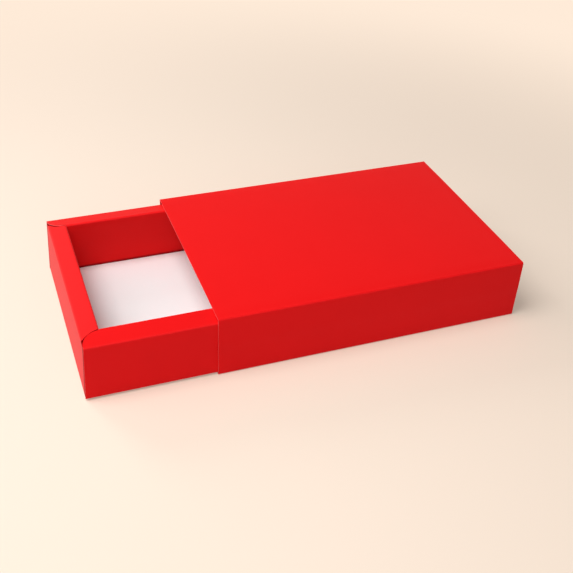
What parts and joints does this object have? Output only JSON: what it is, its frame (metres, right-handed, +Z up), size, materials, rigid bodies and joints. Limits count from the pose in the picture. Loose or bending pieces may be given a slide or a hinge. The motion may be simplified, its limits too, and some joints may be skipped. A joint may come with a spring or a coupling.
{
  "type": "sliding drawer gift box",
  "caption": "Folded red card gift box: a hollow-walled tray with a white floor card slides in an open-ended sleeve.",
  "frame": {"origin": "centre of the sleeve's underside, which rests on the table", "axes": "+X along the slide, away from the drawn-out tray; +Y towards the back panel with the glued seam; +Z up"},
  "size_m": [0.25, 0.125, 0.037],
  "materials": {
    "red_card": "matte",
    "white_card": "matte",
    "clear_glue": "satin"
  },
  "bodies": {
    "sleeve": {"sleeve": "red_card", "sleeve_seam_glue": "clear_glue"},
    "tray": {"tray": "red_card", "tray_corner_glue": "clear_glue", "tray_flange_glue": "clear_glue", "floor_liner": "white_card", "liner_tape": "clear_glue"}
  },
  "joints": [
    {"name": "tray_slide", "type": "slide", "parent": "sleeve", "child": "tray", "axis": [-1, 0, 0], "range_m": [-0.2525, 0.112]}
  ]
}
